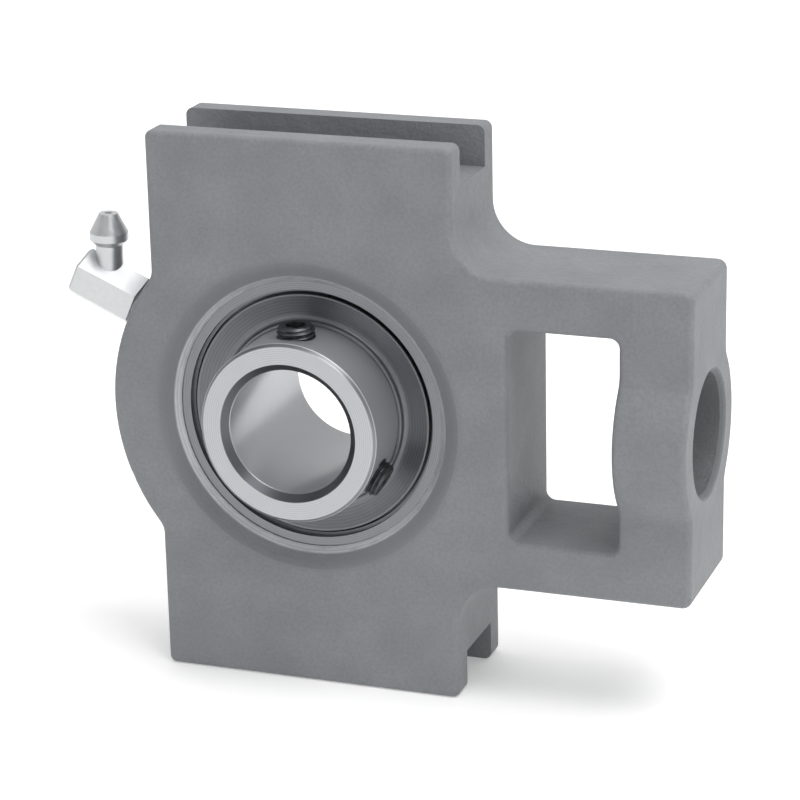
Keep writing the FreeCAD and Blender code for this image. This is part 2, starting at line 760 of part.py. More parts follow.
# Angled grease nipple: threaded shank, hexagon and a head on a bend, drawn along its own Z
def make_nipple_body():
    body = new_body("nipple_body")
    shank = sketch_on(body, "shank_outline", "XY_Plane", NIPPLE_SEAT + " - nipple_shank_depth")
    circle(shank, "0", "0", "nipple_thread_radius - thread_clearance")
    pad(body, "shank", shank, "nipple_shank_depth + nipple_collar")
    block = sketch_on(body, "hexagon_outline", "XY_Plane", HEX_START)
    hexagon(block, "0", "0", "nipple_hex")
    pad(body, "hexagon", block, "nipple_hex_length")
    end = value(HEX_START + " + nipple_hex_length")

    def at_end(edge):
        return all(abs(point.z - end) < ON_EDGE for point in edge_points(edge))
    bevel_edges(body, "hexagon_end", "nipple_hex_chamfer", at_end)
    head = head_sketch(body, "head_profile")
    shoulder = "nipple_neck_height + nipple_taper"
    outline(head, [
        ("0", "0"),
        ("nipple_neck_radius", "0"),
        ("nipple_neck_radius", "nipple_neck_height"),
        ("nipple_head_radius", shoulder),
        ("nipple_head_radius", shoulder + " + nipple_band"),
        ("nipple_tip_radius", "nipple_head_height"),
        ("0", "nipple_head_height"),
    ])
    revolve(body, "head", head)
    channel = sketch_on(body, "channel_outline", "XY_Plane", BEND_HEIGHT)
    circle(channel, "0", "0", "nipple_channel_radius")
    pocket(body, "channel", channel, BEND_HEIGHT)
    mouth = head_sketch(body, "mouth_profile")
    seat = "nipple_head_height - nipple_mouth_length"
    outline(mouth, [
        ("0", "0"),
        ("nipple_channel_radius", "0"),
        ("nipple_channel_radius", seat + " - (nipple_channel_radius - nipple_mouth_radius)"),
        ("nipple_mouth_radius", seat),
        ("nipple_mouth_radius", "nipple_head_height + %d" % CUT_MARGIN),
        ("0", "nipple_head_height + %d" % CUT_MARGIN),
    ])
    revolved_cut(body, "mouth", mouth)
    turn_about_y(body, "nipple_angle - 90")
    bind(body, "Placement.Base.y", "nipple_shift")


def head_sketch(body, name):
    """A sketch whose vertical axis is the axis of the nipple's head."""
    sketch = sketch_on(body, name, "XZ_Plane")
    sketch.AttachmentOffset = Placement(Vector(), Rotation(Vector(0, 0, -1), AXIS_ANGLE))
    bind(sketch, "AttachmentOffset.Rotation.Angle", "nipple_elbow")
    bind(sketch, "AttachmentOffset.Base.y", BEND_HEIGHT)
    return sketch


def place_on_head_axis(piece, height):
    """Puts a piece at a height along the axis of the nipple's head."""
    bind(piece, "Placement.Base.x",
         "-%s * cos(nipple_angle) + (%s) * cos%s" % (BEND_HEIGHT, height, HEAD_ANGLE))
    bind(piece, "Placement.Base.y", "nipple_shift")
    bind(piece, "Placement.Base.z",
         "%s * sin(nipple_angle) + (%s) * sin%s" % (BEND_HEIGHT, height, HEAD_ANGLE))


# Height of the check ball's centre, just under the cone that it seals
CHECK_BALL_HEIGHT = ("nipple_head_height - nipple_mouth_length + nipple_mouth_radius"
                     " - (check_ball_radius + check_ball_gap) / sin(45)")


def make_nipple_ball():
    ball = keep(doc.addObject("Part::Sphere", "nipple_ball"), "nipple_ball")
    bind(ball, "Radius", "check_ball_radius")
    place_on_head_axis(ball, CHECK_BALL_HEIGHT)


# Spring that holds the check ball against its cone
def make_nipple_spring():
    body = new_body("nipple_spring")
    sketch = sketch_on(body, "wire_outline", "XZ_Plane")
    circle(sketch, "spring_radius", "0", "spring_wire_radius")
    coil = body.newObject("PartDesign::AdditiveHelix", "coil")
    coil.Profile = sketch
    coil.ReferenceAxis = (sketch, ["V_Axis"])
    coil.Mode = 0
    bind(coil, "Pitch", "spring_pitch")
    bind(coil, "Height", "spring_height")
    body.Tip = coil
    turn_about_y(body, "nipple_angle + nipple_elbow - 90")
    place_on_head_axis(body, CHECK_BALL_HEIGHT + " - check_ball_radius - spring_height - spring_wire_radius")


def export_subparts():
    doc.recompute()
    for feature in doc.Objects:
        if "Invalid" in feature.State or "Error" in feature.State:
            raise ValueError("%s failed" % feature.Name)
    for piece in subparts:
        if piece.Shape.isNull() or not piece.Shape.isValid():
            raise ValueError("%s has no valid shape" % piece.Label)
    os.makedirs("parts", exist_ok=True)
    for piece in subparts:
        piece.Shape.exportStep("parts/%s.step" % piece.Label)
        print(piece.Label, len(piece.Shape.Solids), round(piece.Shape.Volume, 2))


make_housing()
make_outer_ring()
make_inner_ring()
make_balls()
make_cage_half("cage_half_front")
face_rear(make_cage_half("cage_half_rear"))
make_cage_rivets()
make_seal_shield("seal_shield_front")
face_rear(make_seal_shield("seal_shield_rear"))
make_seal_lip("seal_lip_front")
face_rear(make_seal_lip("seal_lip_rear"))
make_slinger("slinger_front")
face_rear(make_slinger("slinger_rear"))
make_set_screw("set_screw_1", "0")
make_set_screw("set_screw_2", "screw_spread")
make_locking_pin()
make_nipple_body()
make_nipple_ball()
make_nipple_spring()
export_subparts()
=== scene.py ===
# %% [markdown]
# # A take-up bearing unit, dressed for its picture
# The real object is a grey cast-iron housing that slides on two rails of a conveyor frame. A ball
# bearing insert sits in its spherical seat, two set screws clamp the shaft, and a bent nipple on the
# boss takes the grease gun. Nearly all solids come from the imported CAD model. This file adds what makes
# them look real: the finishes, threaded set screws, a wound spring and dished slingers in place of the
# plain solids of the CAD model, and a studio with light and a camera.

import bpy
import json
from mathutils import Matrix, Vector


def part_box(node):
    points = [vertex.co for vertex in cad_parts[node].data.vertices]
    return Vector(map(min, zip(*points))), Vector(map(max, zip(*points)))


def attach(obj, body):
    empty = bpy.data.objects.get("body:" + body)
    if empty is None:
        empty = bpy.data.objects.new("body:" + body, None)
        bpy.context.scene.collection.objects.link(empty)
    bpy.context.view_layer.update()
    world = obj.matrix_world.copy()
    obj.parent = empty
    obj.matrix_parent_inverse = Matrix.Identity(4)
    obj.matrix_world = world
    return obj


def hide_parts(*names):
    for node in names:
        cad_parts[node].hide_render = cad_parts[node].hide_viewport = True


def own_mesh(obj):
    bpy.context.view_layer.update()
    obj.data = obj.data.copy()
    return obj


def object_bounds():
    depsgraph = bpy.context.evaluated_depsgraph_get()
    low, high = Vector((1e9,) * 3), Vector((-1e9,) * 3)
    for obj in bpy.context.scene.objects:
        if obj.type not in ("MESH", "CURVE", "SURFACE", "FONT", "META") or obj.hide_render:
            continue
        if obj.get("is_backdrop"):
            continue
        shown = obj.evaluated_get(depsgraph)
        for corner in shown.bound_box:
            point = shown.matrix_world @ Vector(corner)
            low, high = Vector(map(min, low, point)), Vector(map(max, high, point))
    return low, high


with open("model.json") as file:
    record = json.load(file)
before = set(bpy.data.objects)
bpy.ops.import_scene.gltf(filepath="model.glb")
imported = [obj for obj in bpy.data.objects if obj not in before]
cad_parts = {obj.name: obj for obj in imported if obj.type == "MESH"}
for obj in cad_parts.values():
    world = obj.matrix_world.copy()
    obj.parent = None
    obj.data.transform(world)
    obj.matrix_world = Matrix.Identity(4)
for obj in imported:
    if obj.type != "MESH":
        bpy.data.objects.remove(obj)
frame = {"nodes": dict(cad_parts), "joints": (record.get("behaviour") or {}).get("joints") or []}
cad_low, cad_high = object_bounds()

# %% Modules and the length unit
import json
import math

import bpy
from mathutils import Matrix, Vector

MM = 0.001
size_mm = [round(side / MM, 2) for side in cad_high - cad_low]
print("the unit measures", size_mm, "mm")

# %% [markdown]
# ## The camera
# The picture was taken from the right and a little above, with a long lens. The angles, the distance
# and the focal length were fitted to the straight edges of the casting. The lens is given for a
# sensor 36 mm wide, which is what Blender assumes.

# %% Camera values
AZIMUTH = math.radians(21.69)
ELEVATION = math.radians(18.38)
ROLL = math.radians(-1.75)
DISTANCE = 471.0 * MM
FOCAL_PIXELS = 2958.2
PICTURE_PIXELS = 800
AXIS_PIXEL = (329.9, 398.2)
SENSOR_WIDTH = 36.0
lens = SENSOR_WIDTH * FOCAL_PIXELS / PICTURE_PIXELS
print("lens: %.1f mm" % lens)

# %% Camera directions
backward = Vector((math.sin(AZIMUTH) * math.cos(ELEVATION),
                   -math.cos(AZIMUTH) * math.cos(ELEVATION),
                   math.sin(ELEVATION)))
level_right = Vector((math.cos(AZIMUTH), math.sin(AZIMUTH), 0.0))
level_up = backward.cross(level_right)
right = math.cos(ROLL) * level_right + math.sin(ROLL) * level_up
up = math.cos(ROLL) * level_up - math.sin(ROLL) * level_right
print("from the unit to the camera:", [round(c, 3) for c in backward])

# %% [markdown]
# The fitted optical axis passes beside the middle of the picture. The camera is turned by that small
# angle instead of being shifted, so that it stays a plain camera when it looks from other sides.

# %% Turn the camera to the middle of the picture
aside = (PICTURE_PIXELS / 2 - AXIS_PIXEL[0]) / FOCAL_PIXELS
below = (PICTURE_PIXELS / 2 - AXIS_PIXEL[1]) / FOCAL_PIXELS
look = (-backward + aside * right - below * up).normalized()
right = (right - right.dot(look) * look).normalized()
up = right.cross(look)
camera_turn = Matrix((right, up, -look)).transposed().to_4x4()
print("turned aside by %.2f degrees" % math.degrees(aside))

# %% Make the camera
camera_data = bpy.data.cameras.new("camera")
camera_data.sensor_width = SENSOR_WIDTH
camera_data.lens = lens
camera_data.clip_start = 0.01
camera = bpy.data.objects.new("camera", camera_data)
bpy.context.scene.collection.objects.link(camera)
camera.matrix_world = Matrix.Translation(backward * DISTANCE) @ camera_turn
bpy.context.scene.camera = camera
print("camera at", [round(c, 4) for c in camera.location])

# %% [markdown]
# ## Tools for node trees
# A finish and a Geometry Nodes tree are both made of nodes. One small function adds a node, sets its
# settings and fills its inputs: a socket becomes a link and anything else a value. Colours are
# written as sRGB hex values, as a paint chart gives them, and one function turns them to linear.

# %% Add a node
def add_node(tree, kind, settings=None, inputs=None):
    node = tree.nodes.new(kind)
    for name, setting in (settings or {}).items():
        setattr(node, name, setting)
    for key, source in (inputs or {}).items():
        for one in source if isinstance(source, list) else [source]:
            if isinstance(one, bpy.types.NodeSocket):
                tree.links.new(one, node.inputs[key])
            else:
                node.inputs[key].default_value = one
    return node

# %% Turn a hex colour to linear
def linear(hex_colour):
    channels = [int(hex_colour[place:place + 2], 16) / 255 for place in (1, 3, 5)]
    bent = [c / 12.92 if c <= 0.04045 else ((c + 0.055) / 1.055) ** 2.4 for c in channels]
    return (*bent, 1.0)

print("paint grey is", [round(c, 3) for c in linear("#7f8185")[:3]], "in linear light")

# %% Start a material with its shader
def new_finish(name):
    material = bpy.data.materials.new(name)
    material.use_nodes = True
    tree = material.node_tree
    tree.nodes.clear()
    shader = add_node(tree, "ShaderNodeBsdfPrincipled")
    add_node(tree, "ShaderNodeOutputMaterial", inputs={"Surface": shader.outputs["BSDF"]})
    place = add_node(tree, "ShaderNodeTexCoord").outputs["Object"]
    return material, tree, shader, place

# %% Scales of the patterns
def noise_scale(grain_mm):
    """Noise makes about one grain per unit of its scaled coordinates."""
    return 1 / (grain_mm * MM)

def ring_scale(spacing_mm):
    """Rings repeat each pi / 10 units of the scaled coordinates."""
    return math.pi / 10 / (spacing_mm * MM)

# %% Distance from the shaft axis
def distance_from_shaft(tree, place):
    across = add_node(tree, "ShaderNodeVectorMath", {"operation": "MULTIPLY"}, {
        0: place, 1: (1.0, 0.0, 1.0)})
    length = add_node(tree, "ShaderNodeVectorMath", {"operation": "LENGTH"}, {
        0: across.outputs["Vector"]})
    return length.outputs["Value"]

# %% A soft step at a given distance
def soft_step(tree, value, low_mm, high_mm):
    """The result is 0 at the first distance and 1 at the second, whichever is larger."""
    step = add_node(tree, "ShaderNodeMapRange", inputs={
        "Value": value, "From Min": low_mm * MM, "From Max": high_mm * MM})
    return step.outputs["Result"]

# %% [markdown]
# ## The casting: grey enamel on sand-cast iron
# The housing is poured in green sand, so its skin has fine grains and slow swells under the paint.
# The enamel is sprayed on and fairly dull. The seat of the insert is turned after painting, so its
# rim is bare bright iron. The shallow dish round it is coloured darker, partly for its as-cast skin
# and partly as painted shade of the recess. The masks are plain distances from the shaft axis and
# from the axis of the adjusting screw, read from the CAD place.

# %% Sizes on the casting, in millimetres
RIM_RADIUS = 22.75
DISH_RADIUS = 25.1
SEAT_HALF_DEPTH = 9.3
SCREW_HOLE_RADIUS = 10.35
END_WALL_START = 50.4
SOFT_EDGE = 0.12
print("bare iron up to", RIM_RADIUS, "mm and a dish up to", DISH_RADIUS, "mm from the shaft axis")

# %% Enamel on sand-cast iron
enamel, tree, shader, place = new_finish("grey_enamel_on_cast_iron")
grain = add_node(tree, "ShaderNodeTexNoise", inputs={
    "Vector": place, "Scale": noise_scale(0.55), "Detail": 4.0, "Roughness": 0.6})
swell = add_node(tree, "ShaderNodeTexNoise", inputs={
    "Vector": place, "Scale": noise_scale(9.0), "Detail": 3.0, "Roughness": 0.5})
paint = add_node(tree, "ShaderNodeValToRGB", inputs={"Fac": swell.outputs["Fac"]})
paint.color_ramp.elements[0].position = 0.3
paint.color_ramp.elements[0].color = linear("#7a7c80")
paint.color_ramp.elements[1].position = 0.7
paint.color_ramp.elements[1].color = linear("#848689")

# %% Distances that tell the surfaces of the casting apart
split = add_node(tree, "ShaderNodeSeparateXYZ", inputs={"Vector": place})
shaft_distance = distance_from_shaft(tree, place)
from_screw = add_node(tree, "ShaderNodeVectorMath", {"operation": "MULTIPLY"}, {
    0: place, 1: (0.0, 1.0, 1.0)})
screw_distance = add_node(tree, "ShaderNodeVectorMath", {"operation": "LENGTH"}, {
    0: from_screw.outputs["Vector"]}).outputs["Value"]

# %% Mask of the turned seat and rim
inside_rim = soft_step(tree, shaft_distance, RIM_RADIUS + SOFT_EDGE, RIM_RADIUS - SOFT_EDGE)
depth = add_node(tree, "ShaderNodeMath", {"operation": "ABSOLUTE"}, {0: split.outputs["Y"]}).outputs[0]
inside_seat = add_node(tree, "ShaderNodeMath", {"operation": "LESS_THAN"}, {
    0: depth, 1: SEAT_HALF_DEPTH * MM}).outputs[0]
near_seat = add_node(tree, "ShaderNodeMath", {"operation": "LESS_THAN"}, {
    0: shaft_distance, 1: DISH_RADIUS * MM}).outputs[0]
deep_seat = add_node(tree, "ShaderNodeMath", {"operation": "MULTIPLY"}, {0: inside_seat, 1: near_seat})
turned = add_node(tree, "ShaderNodeMath", {"operation": "MAXIMUM"}, {
    0: inside_rim, 1: deep_seat.outputs[0]}).outputs[0]

# %% Mask of the dish, where shade is painted, and of the screw hole
dish = soft_step(tree, shaft_distance, DISH_RADIUS + 8 * SOFT_EDGE, DISH_RADIUS - 10 * SOFT_EDGE)
in_hole = soft_step(tree, screw_distance, SCREW_HOLE_RADIUS, SCREW_HOLE_RADIUS - 4 * SOFT_EDGE)
past_slot = add_node(tree, "ShaderNodeMath", {"operation": "GREATER_THAN"}, {
    0: split.outputs["X"], 1: END_WALL_START * MM}).outputs[0]
bored = add_node(tree, "ShaderNodeMath", {"operation": "MULTIPLY"}, {
    0: in_hole, 1: past_slot}).outputs[0]

# %% Colours of the casting, one over the other
speckle = add_node(tree, "ShaderNodeMapRange", inputs={
    "Value": grain.outputs["Fac"], "From Min": 0.62, "From Max": 0.38, "To Min": 0.0, "To Max": 0.30})
painted = add_node(tree, "ShaderNodeMix", {"data_type": "RGBA"}, {
    0: speckle.outputs["Result"], 6: paint.outputs["Color"], 7: linear("#65676a")})
# Painted shade: the dish is coloured darker for the shade of the recess, over its as-cast iron.
with_dish_shade = add_node(tree, "ShaderNodeMix", {"data_type": "RGBA"}, {
    0: dish, 6: painted.outputs[2], 7: linear("#6f7174")})
# Inside the adjusting screw's hole the casting is coloured a darker grey.
with_hole = add_node(tree, "ShaderNodeMix", {"data_type": "RGBA"}, {
    0: bored, 6: with_dish_shade.outputs[2], 7: linear("#626466")})
turning = add_node(tree, "ShaderNodeTexWave", {"wave_type": "RINGS", "rings_direction": "Y"}, {
    "Vector": place, "Scale": ring_scale(0.4), "Distortion": 0.6, "Detail": 2.0})
bare = add_node(tree, "ShaderNodeMix", {"data_type": "RGBA"}, {
    0: turning.outputs["Fac"], 6: linear("#cbccce"), 7: linear("#dadbdd")})
casting_colour = add_node(tree, "ShaderNodeMix", {"data_type": "RGBA"}, {
    0: turned, 6: with_hole.outputs[2], 7: bare.outputs[2]})

# %% Gloss of the casting: dull enamel, brighter bare iron
dull = add_node(tree, "ShaderNodeMapRange", inputs={
    "Value": grain.outputs["Fac"], "To Min": 0.50, "To Max": 0.66}).outputs["Result"]
gloss = add_node(tree, "ShaderNodeMix", {"data_type": "FLOAT"}, {0: turned, 2: dull, 3: 0.56}).outputs[0]

# %% Relief of the casting: grains and pebbles over slow swells
pebble = add_node(tree, "ShaderNodeTexNoise", inputs={
    "Vector": place, "Scale": noise_scale(1.8), "Detail": 2.0, "Roughness": 0.5})
grains_relief = add_node(tree, "ShaderNodeBump", inputs={
    "Strength": 0.8, "Distance": 0.17 * MM, "Height": grain.outputs["Fac"]})
pebbles_relief = add_node(tree, "ShaderNodeBump", inputs={
    "Strength": 0.6, "Distance": 0.25 * MM, "Height": pebble.outputs["Fac"],
    "Normal": grains_relief.outputs["Normal"]})
swells_relief = add_node(tree, "ShaderNodeBump", inputs={
    "Strength": 0.4, "Distance": 0.8 * MM, "Height": swell.outputs["Fac"],
    "Normal": pebbles_relief.outputs["Normal"]})
tree.links.new(casting_colour.outputs[2], shader.inputs["Base Color"])
tree.links.new(turned, shader.inputs["Metallic"])
tree.links.new(gloss, shader.inputs["Roughness"])
tree.links.new(swells_relief.outputs["Normal"], shader.inputs["Normal"])
print(enamel.name, "has", len(tree.nodes), "nodes")

# %% [markdown]
# ## Steels of the insert
# All the steels share one recipe: a metal with rings left by grinding or pressing round the shaft
# axis, and faint blotches in the gloss. The rings of a ground race are finer than a pixel, so they
# are drawn 0.35 to 0.5 mm apart, as coarse as they need to show. What differs is colour, gloss and
# spacing, so the recipe is a function that takes those.

# %% Ringed steel
def ringed_steel(name, dark, light, roughness, spacing_mm, relief_mm):
    material, tree, shader, place = new_finish(name)
    rings = add_node(tree, "ShaderNodeTexWave", {"wave_type": "RINGS", "rings_direction": "Y"}, {
        "Vector": place, "Scale": ring_scale(spacing_mm), "Distortion": 1.2, "Detail": 3.0,
        "Detail Scale": 0.6})
    blotch = add_node(tree, "ShaderNodeTexNoise", inputs={
        "Vector": place, "Scale": noise_scale(2.5), "Detail": 4.0})
    tint = add_node(tree, "ShaderNodeMix", {"data_type": "RGBA"}, {
        0: rings.outputs["Fac"], 6: linear(dark), 7: linear(light)})
    uneven = add_node(tree, "ShaderNodeMapRange", inputs={
        "Value": blotch.outputs["Fac"], "To Min": roughness * 0.8, "To Max": roughness * 1.25})
    relief = add_node(tree, "ShaderNodeBump", inputs={
        "Strength": 0.5, "Distance": relief_mm * MM, "Height": rings.outputs["Fac"]})
    tree.links.new(tint.outputs[2], shader.inputs["Base Color"])
    tree.links.new(uneven.outputs["Result"], shader.inputs["Roughness"])
    tree.links.new(relief.outputs["Normal"], shader.inputs["Normal"])
    shader.inputs["Metallic"].default_value = 1.0
    return material

# %% The ringed steels
ground_steel = ringed_steel("ground_bearing_steel", "#a9aaad", "#b9babd", 0.32, 0.35, 0.0010)
# The outer ring's steel is coloured darker than the inner ring's.
race_steel = ringed_steel("ground_outer_ring_steel", "#77787b", "#848588", 0.30, 0.35, 0.0012)
pressed_steel = ringed_steel("pressed_phosphated_steel", "#737478", "#7d7e82", 0.44, 0.50, 0.0010)
cage_steel = ringed_steel("pressed_bright_steel", "#8e8e8c", "#a2a2a0", 0.30, 0.50, 0.004)

# %% [markdown]
# The inner ring is ground on its bore, its faces and its outside. Its chamfers are only turned before
# hardening and keep a dark skin, which draws a dark line round the bore and round each end face. The
# bore is coloured darker than the faces, as painted shade inside the hole, and the outside is ground
# more coarsely than the rest. All these surfaces of the ring differ in their distance from the shaft
# axis, so bands of distance tell them apart.

# %% Finish a band round the shaft axis
BAND_EDGE = 0.1

def finish_band(material, inner_mm, outer_mm, colour, roughness):
    tree = material.node_tree
    shader = next(node for node in tree.nodes if node.bl_idname == "ShaderNodeBsdfPrincipled")
    place = next(node for node in tree.nodes if node.bl_idname == "ShaderNodeTexCoord").outputs["Object"]
    distance = distance_from_shaft(tree, place)
    past_inner = soft_step(tree, distance, inner_mm, inner_mm + BAND_EDGE)
    past_outer = soft_step(tree, distance, outer_mm, outer_mm - BAND_EDGE)
    band = add_node(tree, "ShaderNodeMath", {"operation": "MULTIPLY"}, {
        0: past_inner, 1: past_outer}).outputs[0]
    tinted = add_node(tree, "ShaderNodeMix", {"data_type": "RGBA"}, {
        0: band, 6: shader.inputs["Base Color"].links[0].from_socket, 7: linear(colour)})
    dulled = add_node(tree, "ShaderNodeMix", {"data_type": "FLOAT"}, {
        0: band, 2: shader.inputs["Roughness"].links[0].from_socket, 3: roughness})
    tree.links.new(tinted.outputs[2], shader.inputs["Base Color"])
    tree.links.new(dulled.outputs[0], shader.inputs["Roughness"])

# %% Bands of the inner ring: from and to in millimetres, colour, roughness
RING_BANDS = {
    # The bore's darker colour is painted shade inside the hole.
    "bore": (9.0, 10.05, "#9c9da1", 0.30),
    "bore chamfers": (10.05, 11.2, "#636468", 0.36),
    "outer chamfers": (14.02, 14.48, "#85868a", 0.36),
    "outside": (14.38, 15.5, "#c4c5c8", 0.52),
}
for surface, (inner_mm, outer_mm, colour, roughness) in RING_BANDS.items():
    finish_band(ground_steel, inner_mm, outer_mm, colour, roughness)
    print(ground_steel.name, "has", len(ground_steel.node_tree.nodes), "nodes after the", surface)

# %% [markdown]
# ## Other finishes of the insert and the nipple
# The balls are lapped to a mirror, with only the faintest blotches. The set screws and the pin are
# blackened in a hot oxide bath, which leaves a grey-black, slightly patchy skin. The nipple is zinc
# plated: bright, a little milky, with soft crystals. The seal lips are moulded nitrile rubber, which
# is black and dull and has fine pores.

# %% Blotched metal
def blotched_metal(name, dark, light, low_roughness, high_roughness, grain_mm, relief_mm):
    material, tree, shader, place = new_finish(name)
    blotch = add_node(tree, "ShaderNodeTexNoise", inputs={
        "Vector": place, "Scale": noise_scale(grain_mm), "Detail": 5.0, "Roughness": 0.6})
    tint = add_node(tree, "ShaderNodeMix", {"data_type": "RGBA"}, {
        0: blotch.outputs["Fac"], 6: linear(dark), 7: linear(light)})
    uneven = add_node(tree, "ShaderNodeMapRange", inputs={
        "Value": blotch.outputs["Fac"], "From Min": 0.3, "From Max": 0.7,
        "To Min": low_roughness, "To Max": high_roughness})
    relief = add_node(tree, "ShaderNodeBump", inputs={
        "Strength": 0.4, "Distance": relief_mm * MM, "Height": blotch.outputs["Fac"]})
    tree.links.new(tint.outputs[2], shader.inputs["Base Color"])
    tree.links.new(uneven.outputs["Result"], shader.inputs["Roughness"])
    tree.links.new(relief.outputs["Normal"], shader.inputs["Normal"])
    shader.inputs["Metallic"].default_value = 1.0
    return material

# %% The blotched metals
lapped_steel = blotched_metal("lapped_chrome_steel", "#d0cfcb", "#d9d8d4", 0.04, 0.08, 1.2, 0.0005)
black_steel = blotched_metal("black_oxide_steel", "#47484a", "#5f6063", 0.36, 0.52, 0.8, 0.004)
zinc_plate = blotched_metal("zinc_plated_steel", "#c2c4c6", "#d8d9da", 0.32, 0.46, 0.9, 0.012)
spring_wire = blotched_metal("drawn_spring_steel", "#84858a", "#9a9ba0", 0.20, 0.30, 0.3, 0.002)

# %% Nitrile rubber
rubber, tree, shader, place = new_finish("moulded_nitrile_rubber")
pores = add_node(tree, "ShaderNodeTexNoise", inputs={
    "Vector": place, "Scale": noise_scale(0.25), "Detail": 3.0})
tint = add_node(tree, "ShaderNodeMix", {"data_type": "RGBA"}, {
    0: pores.outputs["Fac"], 6: linear("#191a1a"), 7: linear("#262727")})
relief = add_node(tree, "ShaderNodeBump", inputs={
    "Strength": 0.4, "Distance": 0.01 * MM, "Height": pores.outputs["Fac"]})
tree.links.new(tint.outputs[2], shader.inputs["Base Color"])
tree.links.new(relief.outputs["Normal"], shader.inputs["Normal"])
shader.inputs["Roughness"].default_value = 0.62

# %% [markdown]
# ## Finishes on the CAD pieces
# A CAD piece keeps its mesh and only changes its material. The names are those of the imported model.

# %% Give each CAD node its finish
FINISH_OF = {
    "housing": enamel,
    "outer_ring": race_steel,
    "inner_ring": ground_steel,
    "cage_half_front": cage_steel, "cage_half_rear": cage_steel, "cage_rivets": cage_steel,
    "seal_shield_front": pressed_steel, "seal_shield_rear": pressed_steel,
    "slinger_front": pressed_steel, "slinger_rear": pressed_steel,
    "seal_lip_front": rubber, "seal_lip_rear": rubber,
    "set_screw_1": black_steel, "set_screw_2": black_steel, "locking_pin": black_steel,
    "nipple_body": zinc_plate, "nipple_ball": lapped_steel, "nipple_spring": spring_wire,
}
for name, node in frame["nodes"].items():
    finish = lapped_steel if name.startswith("ball_") else FINISH_OF[name]
    node.data.materials.clear()
    node.data.materials.append(finish)
print("finished", len(frame["nodes"]), "CAD nodes")

# %% [markdown]
# ## Tools for shapes that follow a rule
# A thread and a spring both follow a helix, so Geometry Nodes make them. Each tree has named inputs
# for its sizes, for its place and turn, and for its finish. It is run once for each piece, its result
# is kept as a plain mesh, and the object that carried the tree is removed.

# %% Start a shape tree
def new_shape_tree(name, sizes):
    tree = bpy.data.node_groups.new(name, "GeometryNodeTree")
    kinds = {size: "NodeSocketFloat" for size in sizes}
    kinds["Place"] = kinds["Turn"] = "NodeSocketVector"
    kinds["Finish"] = "NodeSocketMaterial"
    for input_name, kind in kinds.items():
        tree.interface.new_socket(name=input_name, in_out="INPUT", socket_type=kind)
    tree.interface.new_socket(name="Geometry", in_out="OUTPUT", socket_type="NodeSocketGeometry")
    print(name, "takes", ", ".join(kinds))
    return tree, add_node(tree, "NodeGroupInput").outputs

# %% End a shape tree: place the shape, make it real and give it its finish
def end_shape_tree(tree, given, shape):
    placed = add_node(tree, "GeometryNodeTransform", inputs={
        "Geometry": shape, "Translation": given["Place"], "Rotation": given["Turn"]})
    real = add_node(tree, "GeometryNodeRealizeInstances", inputs={
        "Geometry": placed.outputs["Geometry"]})
    finished = add_node(tree, "GeometryNodeSetMaterial", inputs={
        "Geometry": real.outputs["Geometry"], "Material": given["Finish"]})
    add_node(tree, "NodeGroupOutput", inputs={"Geometry": finished.outputs["Geometry"]})
    print(tree.name, "has", len(tree.nodes), "nodes")

# %% Grow a plain mesh from a tree
def grown_mesh(tree, sizes, place, along, finish):
    """The tree's own Z axis turns to the direction along, which lies in the plane of X and Z."""
    turn = (0.0, math.atan2(along.x, along.z), 0.0)
    values = {**sizes, "Place": tuple(place), "Turn": turn, "Finish": finish}
    carrier = bpy.data.objects.new("carrier", bpy.data.meshes.new("carrier"))
    bpy.context.scene.collection.objects.link(carrier)
    modifier = carrier.modifiers.new("shape", "NODES")
    modifier.node_group = tree
    for socket in tree.interface.items_tree:
        if socket.in_out == "INPUT":
            modifier[socket.identifier] = values[socket.name]
    mesh = bpy.data.meshes.new_from_object(carrier.evaluated_get(bpy.context.evaluated_depsgraph_get()))
    bpy.data.objects.remove(carrier)
    return mesh

# %% Put a finished piece on its body in the place of a CAD node
def dress(name, mesh, body, node):
    mesh.name = name
    piece = bpy.data.objects.new(name, mesh)
    bpy.context.scene.collection.objects.link(piece)
    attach(piece, body)
    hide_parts(node)
    print(name, "has", len(mesh.polygons), "faces and stands for", node)
    return piece

# %% [markdown]
# ## The set screws
# In the CAD a set screw is a plain cylinder with a hexagon socket. The real one is threaded from end
# to end, with a cup at its point. Each vertex of a finely divided cylinder moves in by a triangle wave
# of its height and its angle, which is a helix. A boolean then cuts the socket and the cup. Both
# screws share one tree.

# %% Sizes of a set screw, in millimetres
SCREW = {
    "Radius": 3.0,
    "Length": 6.0,
    "Pitch": 0.75,
    "Thread Depth": 0.42,
    "Chamfer": 0.55,
    "Across Flats": 3.0,
    "Socket Depth": 2.5,
    "Cup Radius": 1.5,
    "Cup Depth": 0.8,
}
SCREW_SIDES = 56
SCREW_ROWS = 72
CUP_SIDES = 32

# %% Start the tree of the set screw
screw_tree, given = new_shape_tree("threaded_set_screw", SCREW)

# %% A finely divided cylinder and the place of its vertices
blank = add_node(screw_tree, "GeometryNodeMeshCylinder", {"fill_type": "NGON"}, {
    "Vertices": SCREW_SIDES, "Side Segments": SCREW_ROWS,
    "Radius": given["Radius"], "Depth": given["Length"]})
vertex = add_node(screw_tree, "GeometryNodeInputPosition").outputs["Position"]
vertex_parts = add_node(screw_tree, "ShaderNodeSeparateXYZ", inputs={"Vector": vertex}).outputs

